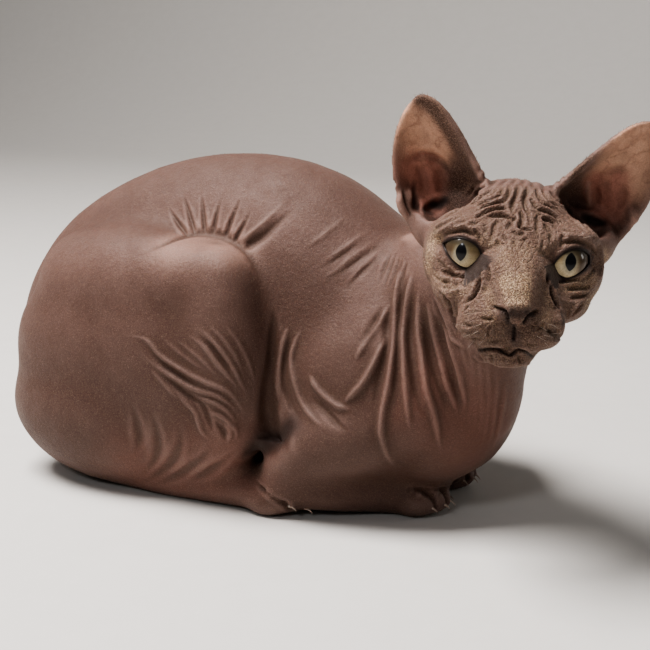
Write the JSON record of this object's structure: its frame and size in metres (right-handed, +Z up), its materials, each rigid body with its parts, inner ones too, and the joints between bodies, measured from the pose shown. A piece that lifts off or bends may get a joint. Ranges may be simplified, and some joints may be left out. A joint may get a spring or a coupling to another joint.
{
  "type": "cat",
  "caption": "Life-size hairless sphynx cat crouched on folded legs, head turned to its right, large ears up, tail curled round one haunch.",
  "frame": {"origin": "centre of the object's box, on the floor it rests on", "axes": "+X from the rump to the chest, +Y to the cat's left, +Z up; the face turns to -Y"},
  "size_m": [0.4018, 0.224, 0.2196],
  "materials": {
    "sphynx_skin": "matte wrinkled skin with very short down",
    "ear_skin": "thin soft skin",
    "iris": "wet, glossy"
  },
  "bodies": {
    "root": {"head": "sphynx_skin", "ear_right": "ear_skin", "ear_left": "ear_skin", "eye_right": "iris", "eye_left": "iris", "neck": "sphynx_skin", "chest": "sphynx_skin", "loin": "sphynx_skin", "rump": "sphynx_skin", "thigh_right": "sphynx_skin", "shank_right": "sphynx_skin", "hind_foot_right": "sphynx_skin", "upper_arm_right": "sphynx_skin", "forearm_right": "sphynx_skin", "forepaw_right": "sphynx_skin", "thigh_left": "sphynx_skin", "shank_left": "sphynx_skin", "hind_foot_left": "sphynx_skin", "upper_arm_left": "sphynx_skin", "forearm_left": "sphynx_skin", "forepaw_left": "sphynx_skin", "tail_base": "sphynx_skin", "tail_middle": "sphynx_skin", "tail_tip": "sphynx_skin"}
  },
  "joints": []
}
